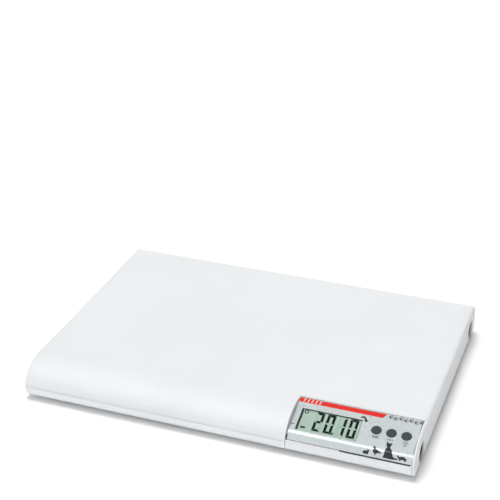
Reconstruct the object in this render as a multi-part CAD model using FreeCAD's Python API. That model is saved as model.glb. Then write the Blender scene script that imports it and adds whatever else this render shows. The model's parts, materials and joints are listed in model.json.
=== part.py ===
"""Low-profile animal weighing scale with a display module in its front right corner.

Row frame, in millimetres: +X to the right, +Y to the rear, +Z up. The origin lies on the surface
that the scale stands on, under the middle of the body. Each sub-part goes to parts/NODE.step.
"""
import FreeCAD
import Part
import math
import os

V = FreeCAD.Vector

# ---------------------------------------------------------------- driving dimensions
WIDTH = 500.0              # over the two end caps
DEPTH = 360.0              # over the front and rear noses
FOOT_GAP = 4.0             # clear height under the body
SEAM_Z = 18.2              # joint between the cover and the bottom shell
PLATFORM_Z = 45.0          # weighing surface
RIDGE_Z = 46.3             # crest of the front nose
NOSE_RUN = 45.0            # front nose, from its tip back to the crest
STEP_RUN = 11.0            # from the crest down to the weighing surface
REAR_RUN = 15.0            # rear nose, from its tip forward to the weighing surface
LOWER_RUN = 10.0           # half axes of the ellipse under the seam
LOWER_DROP = 16.0
WALL = 2.8                 # cover and bottom shell
FLOOR = 2.5                # bottom shell floor
SEAM_GAP = 0.4

CAP_THICK = 3.5            # end caps
CAP_ROUND = 2.6
CAP_GAP = 0.1
PLUG_Y = {"front": -145.0, "rear": 148.0}
PLUG_Z = 19.5
PIT_R = 13.0               # round pocket in an end cap
PIT_DEPTH = 9.2
PIT_FLOOR = 1.6
PIT_WALL = 1.2
PLUG_THICK = 2.1

MODULE_X = 94.0            # left end of the display module
MODULE_Y = -120.5          # rear edge of the display module
PANEL_TILT = 18.0          # slope of the display panel, in degrees
PANEL_Y = -123.9           # reference line of the panel, from which "down" is measured
PANEL_Z = 44.2
PANEL_REAR = 2.6           # panel behind the reference line
PANEL_BEND = 50.0          # down the panel to its rounded front edge
PANEL_BEND_R = 9.0
MODULE_SEAM_Z = 20.4       # joint between the module's two halves
MODULE_SEAM_GAP = 0.8
PANEL_LIP = (-178.0, MODULE_SEAM_Z + MODULE_SEAM_GAP / 2)  # Y, Z of the panel's lower front edge
PANEL_THICK = 2.2
FIT = 0.4                  # side clearance of the module in its pocket

WINDOW_X = 139.2           # middle of the display window, along X and down the panel
WINDOW_DOWN = 29.8
WINDOW = (74.2, 32.6)
SIGHT_MARGIN = (1.3, 0.65, 0.65, 0.65)  # black lip inside the window: left, right, rear, front
BUTTON_X = {"hold": 195.3, "tare": 213.3, "power": 231.3}
BUTTON_DOWN = 24.1
BUTTON_R = 6.0
BUTTON_PROUD = 0.9
BOARD_TOP = 9.0            # circuit board, under the panel's face
BOARD_THICK = 1.6
BOARD_SCREWS = [(183.5, 10.5), (183.5, 46.0), (235.5, 10.5), (235.5, 46.0)]
MODULE_SCREWS = [(110.0, -126.0), (225.0, -126.0), (110.0, -171.5), (225.0, -171.5)]

FOOT_X = 195.0
FOOT_Y = {"front": -90.0, "rear": 120.0}
FOOT_R = 16.0
FOOT_HOLE_R = 18.5
FOOT_TRAVEL = 0.6          # deflection of a load cell at full load
CELL_SIDE = 38.0
CELL_Z = 14.0
CELL_THICK = 2.5
BRACKET_SIDE = 46.0
PLATE_THICK = 1.5
PLATE_X = 222.0
PLATE_Y = (-115.0, 150.0)
PLATE_FLANGE = 8.0

BATTERY_X = -60.0          # middle of the battery compartment
BATTERY_Y = 20.0
BATTERY_R = 7.2
BATTERY_LENGTH = 50.0
BATTERY_COUNT = 4
BATTERY_PITCH = 14.8
DOOR = (64.0, 63.0)        # along X and Y
DOOR_THICK = 2.2
DOOR_AXIS_Z = 5.8
DOOR_BARREL_R = 1.8
DOOR_PIN_R = 1.0
DOOR_CLEAR = 0.5

SHELL_SCREWS = [(-232, 15), (232, 15), (-110, 160), (110, 160), (-200, -150), (-70, -150), (60, -150)]
SCREW_R = 1.5
SCREW_HEAD = 1.4           # head of an end cap's screw
CABLE_R = 1.1

BODY_X = WIDTH / 2 - CAP_THICK
CUP_BACK = WIDTH / 2 - PIT_DEPTH - PIT_FLOOR
Y_FRONT, Y_REAR = -DEPTH / 2, DEPTH / 2
PANEL = FreeCAD.Placement(V(0, PANEL_Y, PANEL_Z), FreeCAD.Rotation(V(1, 0, 0), PANEL_TILT))
FAR = 300.0                # past the body on every side, for cutting tools


# ---------------------------------------------------------------- shape helpers
def box(x0, x1, y0, y1, z0, z1):
    return Part.makeBox(x1 - x0, y1 - y0, z1 - z0, V(x0, y0, z0))


def cyl(x, y, z0, z1, r):
    return Part.makeCylinder(r, z1 - z0, V(x, y, z0), V(0, 0, 1))


def cyl_x(x0, x1, y, z, r):
    return Part.makeCylinder(r, x1 - x0, V(x0, y, z), V(1, 0, 0))


def fuse(shapes):
    joined = shapes[0]
    for s in shapes[1:]:
        joined = joined.fuse(s)
    return joined.removeSplitter()


def cut(shape, tools):
    for t in tools:
        shape = shape.cut(t)
    return shape


def mirror_x(shape):
    return shape.mirror(V(0, 0, 0), V(1, 0, 0))


def prism(face, x0, x1):
    """A face in the YZ plane, swept from x0 to x1."""
    moved = face.copy()
    moved.translate(V(x0, 0, 0))
    return moved.extrude(V(x1 - x0, 0, 0))


def quarter_ellipse(centre, y_reach, z_reach):
    """The quarter of an ellipse in the YZ plane between its points at y_reach and at z_reach."""
    tips = sorted([V(0, y_reach, 0), V(0, 0, z_reach)], key=lambda p: -p.Length)
    ellipse = Part.Ellipse(centre + tips[0], centre + tips[1], centre)
    return Part.ArcOfEllipse(ellipse, 0, math.pi / 2).toShape()


def s_curve(start, end):
    """Two equal arcs in the YZ plane that leave start and reach end level."""
    half, drop = (end.y - start.y) / 2, (start.z - end.z) / 2
    radius = (half ** 2 + drop ** 2) / (2 * drop)
    angle = math.asin(half / radius) / 2
    run, fall = radius * math.sin(angle), radius * (1 - math.cos(angle))
    middle = (start + end) * 0.5
    down = Part.Arc(start, start + V(0, run, -fall), middle).toShape()
    level = Part.Arc(middle, end + V(0, -run, fall), end).toShape()
    return [down, level]


def line(a, b):
    return Part.LineSegment(a, b).toShape()


def body_section(inset):
    """Cross-section of the whole body as a face in the YZ plane, drawn inward by inset."""
    front = V(0, Y_FRONT + NOSE_RUN, SEAM_Z)
    rear = V(0, Y_REAR - REAR_RUN, SEAM_Z)
    low_front = V(0, Y_FRONT + LOWER_RUN, SEAM_Z)
    low_rear = V(0, Y_REAR - LOWER_RUN, SEAM_Z)
    crest = V(0, front.y, RIDGE_Z - inset)
    step = V(0, front.y + STEP_RUN, PLATFORM_Z - inset)
    rear_top = V(0, rear.y, PLATFORM_Z - inset)
    low = LOWER_DROP - inset
    edges = [quarter_ellipse(low_front, inset - LOWER_RUN, -low),
             quarter_ellipse(front, inset - NOSE_RUN, RIDGE_Z - inset - SEAM_Z),
             *s_curve(crest, step),
             line(step, rear_top),
             quarter_ellipse(rear, REAR_RUN - inset, PLATFORM_Z - inset - SEAM_Z),
             quarter_ellipse(low_rear, LOWER_RUN - inset, -low),
             line(low_rear - V(0, 0, low), low_front - V(0, 0, low))]
    return Part.Face(Part.Wire(Part.__sortEdges__(edges)))


def body(inset, x0, x1, z0, z1):
    """The body's section swept from x0 to x1, and kept from z0 to z1."""
    return prism(body_section(inset), x0, x1).common(box(x0 - 1, x1 + 1, -FAR, FAR, z0, z1))


def on_panel(shape):
    """Moves a shape from the panel's own frame (X, up the panel, out of its face) to the row frame."""
    shape.Placement = PANEL.multiply(shape.Placement)
    return shape


def panel_box(x, down, size_x, size_down, n0, n1):
    """A box centred at x and down the panel, from n0 to n1 out of its face."""
    return on_panel(box(x - size_x / 2, x + size_x / 2, -down - size_down / 2, -down + size_down / 2, n0, n1))


def panel_cyl(x, down, r, n0, n1):
    return on_panel(cyl(x, -down, n0, n1, r))


def panel_point(down, out):
    return PANEL.multVec(V(0, -down, out))


def rounded_path(points, radii):
    """Straight runs through points, with an arc of the given radius at each inner point."""
    edges, start = [], points[0]
    for before, corner, after, radius in zip(points, points[1:], points[2:], radii):
        back, ahead = (before - corner).normalize(), (after - corner).normalize()
        half = back.getAngle(ahead) / 2
        reach = radius / math.tan(half)
        enter, leave = corner + back * reach, corner + ahead * reach
        middle = (back + ahead).normalize()
        crown = corner + middle * (radius / math.sin(half) - radius)
        edges += [line(start, enter), Part.Arc(enter, crown, leave).toShape()]
        start = leave
    return edges + [line(start, points[-1])]


def panel_outline(inset):
    """The space under the display panel's outer face, drawn inward by inset, as a face."""
    rear = panel_point(-PANEL_REAR, -inset)
    bend = panel_point(PANEL_BEND, 0)
    lip = V(0, *PANEL_LIP)
    slope_out = (panel_point(0, 1) - panel_point(0, 0)).normalize()
    run = (lip - bend).normalize()
    front_out = V(0, run.z, -run.y)
    inner_bend = bend - (slope_out + front_out) * (inset / (1 + slope_out.dot(front_out)))
    inner_lip = lip - front_out * inset
    base = [V(0, rear.y, lip.z), inner_lip]
    outline = rounded_path([rear, inner_bend, inner_lip], [PANEL_BEND_R - inset])
    edges = [line(base[0], rear), *outline, line(inner_lip, base[0])]
    return Part.Face(Part.Wire(Part.__sortEdges__(edges)))


def ring(x, y, side, hole, z0, z1):
    return box(x - side / 2, x + side / 2, y - side / 2, y + side / 2, z0, z1).cut(
        box(x - hole / 2, x + hole / 2, y - hole / 2, y + hole / 2, z0 - 1, z1 + 1))


def screw(x, y, z_head, length, head_r=2.8, head=1.8, r=SCREW_R - 0.05):
    """A pan-head screw driven upward, with its head's underside at z_head and a cross slot."""
    head_part = cyl(x, y, z_head, z_head + head, head_r)
    slot = [box(x - head_r * 0.7, x + head_r * 0.7, y - 0.35, y + 0.35, z_head - 0.1, z_head + 0.8),
            box(x - 0.35, x + 0.35, y - head_r * 0.7, y + head_r * 0.7, z_head - 0.1, z_head + 0.8)]
    return fuse([cut(head_part, slot), cyl(x, y, z_head + head, z_head + head + length, r)])


# ---------------------------------------------------------------- shells
COVER_UNDER = PLATFORM_Z - WALL
BOSS_Z = 14.0              # lower end of the cover's screw bosses


def platform_cover():
    end = BODY_X - CAP_GAP
    skin = body(0, -end, end, SEAM_Z + SEAM_GAP / 2, RIDGE_Z + 1)
    inside = body(WALL, -end - 2, end + 2, 0, RIDGE_Z)
    walls = box(MODULE_X - 2.5, FAR, -FAR, MODULE_Y + 2.5, 0, 60)
    pocket = box(MODULE_X, FAR, -FAR, MODULE_Y, 0, 60)
    shell = skin.cut(inside.cut(walls)).cut(pocket)
    room = body(1.0, -end, end, 0, RIDGE_Z)
    bosses = [cyl(x, y, BOSS_Z, RIDGE_Z, 4.0).common(room) for x, y in SHELL_SCREWS]
    holes = [cyl(x, y, BOSS_Z - 1, BOSS_Z + 14, SCREW_R) for x, y in SHELL_SCREWS]
    # tongue that overlaps the bottom shell's wall inside the seam, set back from it
    tongue = body(WALL + 0.3, -end + 4, MODULE_X - 8, SEAM_Z - 3, SEAM_Z + 4).cut(
        body(WALL + 1.8, -FAR, FAR, 0, 60))
    tongue = tongue.common(box(-FAR, FAR, -FAR, -100, 0, 60).fuse(box(-FAR, FAR, 100, FAR, 0, 60)))
    tongue = tongue.cut(fuse([cyl(x, y, 0, 30, 4.6) for x, y in SHELL_SCREWS]))
    web = body(WALL - 0.5, -end + 4, MODULE_X - 8, SEAM_Z + 2, SEAM_Z + 4).cut(
        body(WALL + 1.8, -FAR, FAR, 0, 60)).common(
        box(-FAR, FAR, -FAR, -100, 0, 60).fuse(box(-FAR, FAR, 100, FAR, 0, 60)))
    return cut(fuse([shell, tongue, web, *bosses]), holes)


def door_opening(grow=0.0):
    half_x, half_y = DOOR[0] / 2 + grow, DOOR[1] / 2 + grow
    return (BATTERY_X - half_x, BATTERY_X + half_x, BATTERY_Y - half_y, BATTERY_Y + half_y)


def end_boss(side, y):
    """Block that takes an end cap's screw, at the given side (+1 right, -1 left)."""
    block = box(231.0, CUP_BACK - 0.4, y - 5, y + 5, FOOT_GAP + FLOOR - 0.5, PLUG_Z + 4)
    block = block.cut(cyl_x(230, 241, y, PLUG_Z, SCREW_R))
    return block if side > 0 else mirror_x(block)


def cup_clearance(side, y):
    """Room in a shell for the cup behind an end cap's pit."""
    room = cyl_x(CUP_BACK - 0.2, BODY_X + 1, y, PLUG_Z, PIT_R + PIT_WALL + 0.2)
    return room if side > 0 else mirror_x(room)


def cable_gate():
    """Opening through both walls between the body and the display module."""
    return box(142, 162, MODULE_Y - 6, MODULE_Y + 4, FOOT_GAP + FLOOR, 13.5)


def bottom_shell():
    end = BODY_X - CAP_GAP
    top = SEAM_Z - SEAM_GAP / 2
    left, rear = MODULE_X - 0.2, MODULE_Y - 0.4
    shell = body(0, -end, end, FOOT_GAP, top)
    inside = body(WALL, -end - 2, end + 2, FOOT_GAP + FLOOR, 60)
    module = box(left, FAR, -FAR, rear, -10, 60)
    walls = box(left - 2.5, FAR, -FAR, rear + 2.0, -10, 60)
    shell = shell.cut(inside.cut(walls)).cut(module)
    posts = [cyl(x, y, FOOT_GAP, BOSS_Z - 0.2, 5.0) for x, y in SHELL_SCREWS]
    rim = box(*door_opening(DOOR_CLEAR + 1.8), FOOT_GAP, 9.5)
    pegs = [ring(sx * FOOT_X, y, 2 * FOOT_HOLE_R + 5, 2 * FOOT_HOLE_R + 1, FOOT_GAP + FLOOR - 0.5, 9.0)
            for sx in (-1, 1) for y in FOOT_Y.values()]
    ends = [end_boss(side, y) for side in (-1, 1) for name, y in PLUG_Y.items()
            if (side, name) != (1, "front")]
    shell = fuse([shell, rim, *posts, *pegs, *ends])
    x0, x1, y0, y1 = door_opening(DOOR_CLEAR)
    axis_y = y1 - DOOR_CLEAR - DOOR_BARREL_R
    cuts = [box(x0, x1, y0, y1, 0, 12),
            cyl_x(x0 - 1.6, x1 + 1.6, axis_y, DOOR_AXIS_Z, DOOR_PIN_R + 0.06),
            *[cyl(sx * FOOT_X, y, 0, 20, FOOT_HOLE_R) for sx in (-1, 1) for y in FOOT_Y.values()],
            *[cyl(x, y, 0, 20, SCREW_R + 0.2) for x, y in SHELL_SCREWS],
            *[cyl(x, y, 0, 9.0, 3.4) for x, y in SHELL_SCREWS],
            *[cup_clearance(side, y) for side in (-1, 1) for y in PLUG_Y.values()],
            cable_gate(),
            # finger notch in front of the battery door
            Part.makeSphere(14, V(BATTERY_X, y0 - 4, FOOT_GAP - 12.4))]
    return cut(shell, cuts)


def end_cap(side):
    x0, x1 = BODY_X, WIDTH / 2
    plate = body(0, x0, x1, FOOT_GAP, 60)
    outer = [e for e in plate.Edges if abs(e.BoundBox.XMin - x1) < 1e-6 and abs(e.BoundBox.XMax - x1) < 1e-6]
    plate = plate.makeFillet(CAP_ROUND, outer)
    floor_x = x1 - PIT_DEPTH
    cups = [cyl_x(CUP_BACK, x0 + 0.5, y, PLUG_Z, PIT_R + PIT_WALL) for y in PLUG_Y.values()]
    cap = fuse([plate, *cups])
    pits = [cyl_x(floor_x, x1 + 1, y, PLUG_Z, PIT_R) for y in PLUG_Y.values()]
    holes = [cyl_x(floor_x - 3, x1, y, PLUG_Z, SCREW_R + 0.2) for y in PLUG_Y.values()]
    cap = cut(cap, pits + holes)
    return cap if side > 0 else mirror_x(cap)


def plug(side, y):
    """Flat disc at the bottom of a pit, hollow behind for the head of the end cap's screw."""
    x0 = WIDTH / 2 - PIT_DEPTH + 0.1
    x1 = x0 + PLUG_THICK
    disc = cyl_x(x0, x1, y, PLUG_Z, PIT_R - 0.15)
    rim = [e for e in disc.Edges if len(e.Vertexes) == 1 and abs(e.CenterOfMass.x - x1) < 1e-6]
    disc = disc.makeFillet(0.5, rim)
    piece = disc.cut(cyl_x(x0 - 1, x0 + SCREW_HEAD, y, PLUG_Z, 3.3))
    return piece if side > 0 else mirror_x(piece)


def end_cap_screws():
    x_seat = WIDTH / 2 - PIT_DEPTH
    made = []
    for y in PLUG_Y.values():
        head = cyl_x(x_seat, x_seat + SCREW_HEAD, y, PLUG_Z, 2.8)
        slot = box(x_seat + 0.7, x_seat + 2, y - 2, y + 2, PLUG_Z - 0.35, PLUG_Z + 0.35)
        shank = cyl_x(x_seat - 10.5, x_seat, y, PLUG_Z, SCREW_R - 0.05)
        made.append(fuse([head.cut(slot), shank]))
    return made + [mirror_x(s) for s in made]


def shell_screws():
    return [screw(x, y, 7.2, 16.0) for x, y in SHELL_SCREWS]


# ---------------------------------------------------------------- load path
def stiffener_plate():
    z1 = COVER_UNDER - 0.2
    z0 = z1 - PLATE_THICK
    y0, y1 = PLATE_Y
    sheet = box(-PLATE_X, PLATE_X, y0, y1, z0, z1)
    flanges = [box(-PLATE_X, PLATE_X, y, y + PLATE_THICK, z1 - PLATE_FLANGE, z1)
               for y in (y0, y1 - PLATE_THICK)]
    ribs = []
    for x in (-120.0, 0.0, 120.0):
        channel = box(x - 12, x + 12, y0 + 14, y1 - 14, z0 - 5, z0)
        ribs.append(channel.cut(box(x - 12 + PLATE_THICK, x + 12 - PLATE_THICK, y0, y1, z0 - 5 + PLATE_THICK, z0)))
    plate = fuse([sheet, *flanges, *ribs])
    holes = [cyl(x, y, z0 - 8, z1 + 1, 5.0) for x in (-60.0, 60.0) for y in (-60.0, 20.0, 100.0)]
    return cut(plate, holes)


def load_cell(x, y):
    """Square steel flexure: an outer frame with a tongue that takes the foot's post."""
    z0, z1 = CELL_Z, CELL_Z + CELL_THICK
    plate = box(x - CELL_SIDE / 2, x + CELL_SIDE / 2, y - CELL_SIDE / 2, y + CELL_SIDE / 2, z0, z1)
    slot_out = box(x - 12, x + 12, y - 13, y + 13, z0 - 1, z1 + 1)
    tongue = box(x - 8, x + 8, y - 10, y + 14, z0 - 2, z1 + 2)
    plate = plate.cut(slot_out.cut(tongue))
    return plate.cut(cyl(x, y, z0 - 1, z1 + 1, 2.6))


def cell_bracket(x, y):
    """Tall plastic frame that carries the load from a cell up to the stiffener plate."""
    top = COVER_UNDER - 0.2 - PLATE_THICK
    frame = ring(x, y, BRACKET_SIDE, 31.0, CELL_Z - 4.0, top - 0.1)
    seat = box(x - CELL_SIDE / 2 - 0.2, x + CELL_SIDE / 2 + 0.2, y - CELL_SIDE / 2 - 0.2,
               y + CELL_SIDE / 2 + 0.2, 0, CELL_Z + CELL_THICK)
    cross = fuse([box(x - 22, x + 22, y - 1.2, y + 1.2, CELL_Z + 12, top - 0.1),
                  box(x - 1.2, x + 1.2, y - 22, y + 22, CELL_Z + 12, top - 0.1)])
    return fuse([frame.cut(seat), cross])


def cell_retainers(x, y):
    """Two clips screwed under a bracket, which hold the cell's frame up in its seat."""
    z1 = CELL_Z - 0.05
    clips = []
    for side in (-1, 1):
        xm = x + side * 17.8
        clips.append(box(xm - 1.4, xm + 1.4, y - 12, y + 12, z1 - 1.5, z1))
    return clips


def strain_gauge(x, y):
    z1 = CELL_Z + CELL_THICK
    return box(x - 3.5, x + 3.5, y + 6.0, y + 12.5, z1, z1 + 0.6)


def foot_post(x, y):
    """Plastic cup over the rubber pad, with a post and a pin that locates in the cell's tongue."""
    cup = cyl(x, y, 2.5, 8.0, FOOT_R + 1.0)
    cup = cup.cut(cyl(x, y, 2.0, 4.0, FOOT_R + 0.05))
    cup = cup.cut(cyl(x, y, 6.5, 9, FOOT_R - 1).cut(cyl(x, y, 6, 10, 7.5)))
    return fuse([cup, cyl(x, y, 6.4, CELL_Z - FOOT_TRAVEL - 0.15, 5.0),
                 cyl(x, y, CELL_Z - 1.0, CELL_Z + 2.0, 2.4)])


def foot_pad(x, y):
    pad = cyl(x, y, 0, 4.0, FOOT_R)
    low = [e for e in pad.Edges if abs(e.BoundBox.ZMax) < 1e-6]
    pad = pad.makeChamfer(0.8, low)
    grooves = [cyl(x, y, -1, 0.5, r + 0.6).cut(cyl(x, y, -2, 1, r - 0.6)) for r in (5.0, 10.0)]
    return cut(pad, grooves)


# ---------------------------------------------------------------- display module
def display_fascia():
    x0, x1 = MODULE_X + FIT, BODY_X - FIT
    skin = prism(panel_outline(0), x0, x1).cut(prism(panel_outline(PANEL_THICK), x0 - 1, x1 + 1))
    rear = panel_point(-PANEL_REAR, 0)
    skin = skin.cut(box(x0 - 1, x1 + 1, rear.y - PANEL_THICK - 1, rear.y + 5, 0, 30))
    under = prism(panel_outline(PANEL_THICK - 0.3), x0, x1)
    board_bosses = [panel_cyl(x, s, 2.6, -BOARD_TOP + 0.05, -1.0) for x, s in BOARD_SCREWS]
    tall = [cyl(x, y, 8.6, 50, 2.4).common(under) for x, y in MODULE_SCREWS]
    tall += [cyl(x, y, 8.6, PANEL_LIP[1] + 0.5, 2.4) for x, y in MODULE_SCREWS]
    window = panel_box(WINDOW_X, WINDOW_DOWN, WINDOW[0], WINDOW[1], -6, 3)
    keys = [panel_cyl(x, BUTTON_DOWN, BUTTON_R + 0.25, -5, 3) for x in BUTTON_X.values()]
    pilots = [panel_cyl(x, s, 1.25, -BOARD_TOP - 1, -2.6) for x, s in BOARD_SCREWS]
    pilots += [cyl(x, y, 7, 19, 1.25) for x, y in MODULE_SCREWS]
    return cut(fuse([skin, *board_bosses, *tall]), [window, *keys, *pilots])


def display_housing():
    x0, x1 = MODULE_X + FIT, BODY_X - FIT
    rear = MODULE_Y - 0.8
    outer = body(0, x0, x1, FOOT_GAP, MODULE_SEAM_Z - MODULE_SEAM_GAP / 2).common(box(x0, x1, -FAR, rear, 0, 60))
    room = body(WALL, x0, FAR, FOOT_GAP + FLOOR, 60).common(box(x0 + 2.2, FAR, -FAR, rear - 2.0, 0, 60))
    tray = outer.cut(room)
    under = PANEL_THICK + 0.3
    side = prism(panel_outline(under), x0, x0 + 2.2)
    tongue = prism(panel_outline(under), x0, x1 - 2).cut(prism(panel_outline(under + 1.8), x0, x1))
    tongue = tongue.common(box(x0, x1, -FAR, -160, PANEL_LIP[1], PANEL_LIP[1] + 4))
    foot = box(x0 + 2, x1 - 2, tongue.BoundBox.YMin, tongue.BoundBox.YMin + 2.4, 12, PANEL_LIP[1] + 0.2)
    back = prism(panel_outline(under), x0, x1 - 6).common(box(x0, x1, rear - 2.0, rear, 0, 60))
    back = fuse([back, box(x0, x1 - 6, rear - 2.0, back.BoundBox.YMax, 12, PANEL_LIP[1] + 1)])
    posts = [cyl(x, y, FOOT_GAP, 8.4, 4.2).common(body(0, x0, x1, 0, 60)) for x, y in MODULE_SCREWS]
    housing = fuse([tray, side, box(x0, x0 + 2.2, -174.4, rear, 12, PANEL_LIP[1] + 1), tongue, foot, back,
                    *posts, end_boss(1, PLUG_Y["front"])])
    screw_ways = [cyl(x, y, 0, 12, 1.5) for x, y in MODULE_SCREWS]
    screw_ways += [cyl(x, y, 0, 6.0, 2.6) for x, y in MODULE_SCREWS]
    bosses = [cyl(x, y, 8.45, 50, 2.6) for x, y in MODULE_SCREWS]
    return cut(housing, [*screw_ways, cable_gate(), cup_clearance(1, PLUG_Y["front"]), *bosses])


def window_box(grow_x, grow_down, n0, n1):
    return panel_box(WINDOW_X, WINDOW_DOWN, WINDOW[0] + grow_x, WINDOW[1] + grow_down, n0, n1)


def display_lens():
    return window_box(-0.3, -0.3, -1.0, -0.1)


def lcd_frame():
    """Black carrier: a collar in the window with a lip over the glass, a flange and four walls."""
    left, right, rear, front = SIGHT_MARGIN
    sight = panel_box(WINDOW_X + (left - right) / 2, WINDOW_DOWN + (rear - front) / 2,
                      WINDOW[0] - left - right, WINDOW[1] - rear - front, -2, 0)
    seat = window_box(-1.3, -1.3, -4, -1.65)
    collar = cut(window_box(-0.4, -0.4, -3.4, -1.05), [sight, seat])
    flange = window_box(3.3, 3.6, -3.4, -2.3).cut(seat)
    walls = window_box(3.3, 3.6, -BOARD_TOP + 0.05, -3.4).cut(window_box(0.7, 1.0, -BOARD_TOP - 1, -3))
    return fuse([collar, flange, walls])


def lcd_glass():
    return window_box(-1.4, -1.4, -3.4, -1.7)


def lcd_reflector():
    return window_box(-1.4, -8.6, -4.2, -3.45)


def lcd_connectors():
    """Elastomer strips that join the glass to the board."""
    return [panel_box(WINDOW_X, WINDOW_DOWN + d, WINDOW[0] - 2.7, 2.4, -BOARD_TOP + 0.05, -3.45)
            for d in (-14.0, 14.0)]


def circuit_board():
    x0, x1, s0, s1 = 98.0, 238.5, 8.6, 48.5
    board = panel_box((x0 + x1) / 2, (s0 + s1) / 2, x1 - x0, s1 - s0, -BOARD_TOP - BOARD_THICK, -BOARD_TOP)
    return cut(board, [panel_cyl(x, s, 1.5, -20, 0) for x, s in BOARD_SCREWS])


def board_components():
    under = -BOARD_TOP - BOARD_THICK
    blocks = [(205, 26, 14, 14, 1.6), (150, 20, 10, 6, 1.5), (128, 36, 8, 5, 1.4), (185, 28, 5, 9, 3.5)]
    made = [panel_box(x, s, w, h, under - t, under - 0.02) for x, s, w, h, t in blocks]
    made += [panel_cyl(x, 38, 2.5, under - 5.5, under - 0.02) for x in (168, 176)]
    return made


def cable_socket():
    under = -BOARD_TOP - BOARD_THICK
    return panel_box(152, 30, 16, 6, under - 4.0, under - 0.02)


def board_screws():
    under = -BOARD_TOP - BOARD_THICK
    made = []
    for x, s in BOARD_SCREWS:
        head = panel_cyl(x, s, 2.3, under - 1.5, under - 0.02)
        slot = panel_box(x, s, 3.4, 0.6, under - 2, under - 0.9)
        made.append(fuse([head.cut(slot), panel_cyl(x, s, 1.15, under - 0.5, -5.0)]))
    return made


def module_screws():
    return [screw(x, y, 4.5, 9.0, head_r=2.3, head=1.5, r=1.15) for x, y in MODULE_SCREWS]


def button(x):
    cap = on_panel(cyl(x, -BUTTON_DOWN, -2.5, BUTTON_PROUD, BUTTON_R))
    top = [e for e in cap.Edges if e.BoundBox.ZMax > cap.BoundBox.ZMax - 4.0 and len(e.Vertexes) == 1]
    top = max(top, key=lambda e: e.CenterOfMass.z)
    cap = cap.makeFillet(0.6, [top])
    return fuse([cap, panel_cyl(x, BUTTON_DOWN, 7.2, -3.6, -2.35), panel_cyl(x, BUTTON_DOWN, 5.2, -6.5, -3.5),
                 panel_cyl(x, BUTTON_DOWN, 2.5, -7.9, -6.4)])


def keypad_mat():
    xs = list(BUTTON_X.values())
    mat = panel_box((xs[0] + xs[-1]) / 2, BUTTON_DOWN, xs[-1] - xs[0] + 14.8, 18.0, -BOARD_TOP + 0.03, -8.0)
    collars = [panel_cyl(x, BUTTON_DOWN, 7.4, -8.2, -4.9) for x in xs]
    return cut(fuse([mat, *collars]), [panel_cyl(x, BUTTON_DOWN, 6.4, -12, -2) for x in xs])


# ---------------------------------------------------------------- battery compartment
def battery_rows():
    first = BATTERY_Y - (BATTERY_COUNT - 1) / 2 * BATTERY_PITCH
    return [first + i * BATTERY_PITCH for i in range(BATTERY_COUNT)]


BATTERY_Z = 16.4
BOX_TOP = 26.0


def battery_box():
    half_x, half_y = 30.2, 31.3
    x, y = BATTERY_X, BATTERY_Y
    outer = box(x - half_x - 1.6, x + half_x + 1.6, y - half_y - 1.6, y + half_y + 1.6, 9.6, BOX_TOP)
    lip = box(x - half_x - 6, x + half_x + 6, y - half_y - 6, y + half_y + 6, 9.6, 11.2)
    inner = box(x - half_x, x + half_x, y - half_y, y + half_y, 0, BOX_TOP - 1.6)
    dividers = [box(x - 24, x + 24, (a + b) / 2 - 0.12, (a + b) / 2 + 0.12, BATTERY_Z + 4.5, BOX_TOP - 1)
                for a, b in zip(battery_rows(), battery_rows()[1:])]
    latch_notch = box(x - 8, x + 8, y - half_y - 7, y - half_y + 1, 0, 12.6)
    return fuse([cut(fuse([outer, lip]), [inner, latch_notch]), *dividers])


def batteries():
    made = []
    for i, y in enumerate(battery_rows()):
        x0 = BATTERY_X - BATTERY_LENGTH / 2
        cell = cyl_x(x0, x0 + 48.6, y, BATTERY_Z, BATTERY_R)
        nub = cyl_x(x0 + 48.5, x0 + BATTERY_LENGTH, y, BATTERY_Z, 2.7)
        one = fuse([cell, nub])
        made.append(one if i % 2 == 0 else one.mirror(V(BATTERY_X, 0, 0), V(1, 0, 0)))
    return made


def battery_contacts():
    made = []
    for side in (-1, 1):
        x = BATTERY_X + side * 29.6
        for y in battery_rows():
            tab = box(x - 0.25, x + 0.25, y - 5.5, y + 5.5, BATTERY_Z - 5.5, BATTERY_Z + 5.5)
            tip = BATTERY_X + side * (BATTERY_LENGTH / 2 + 0.1)
            dimple = Part.makeCone(3.2, 1.6, abs(x - tip), V(x, y, BATTERY_Z), V(-side, 0, 0))
            made.append(fuse([tab, dimple]))
    return made


def battery_door():
    x0, x1, y0, y1 = door_opening()
    axis_y = y1 - DOOR_BARREL_R
    leaf = box(x0, x1, y0, axis_y, FOOT_GAP, FOOT_GAP + DOOR_THICK)
    barrel = cyl_x(x0, x1, axis_y, DOOR_AXIS_Z, DOOR_BARREL_R)
    pins = cyl_x(x0 - DOOR_CLEAR - 1.3, x1 + DOOR_CLEAR + 1.3, axis_y, DOOR_AXIS_Z, DOOR_PIN_R)
    latch = fuse([box(BATTERY_X - 7, BATTERY_X + 7, y0 + 0.6, y0 + 2.2, FOOT_GAP + 1, 11.0),
                  box(BATTERY_X - 7, BATTERY_X + 7, y0 - 0.2, y0 + 1.2, 9.8, 11.0)])
    ribs = [box(x0 + 6, x1 - 6, y, y + 1.4, FOOT_GAP + DOOR_THICK - 0.2, 8.2)
            for y in (BATTERY_Y - 16, BATTERY_Y, BATTERY_Y + 16)]
    grips = [box(BATTERY_X - 9, BATTERY_X + 9, y0 + 4 + 2.2 * i, y0 + 5 + 2.2 * i, FOOT_GAP - 1, FOOT_GAP + 0.6)
             for i in range(4)]
    return cut(fuse([leaf, barrel, pins, latch, *ribs]), grips)


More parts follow.
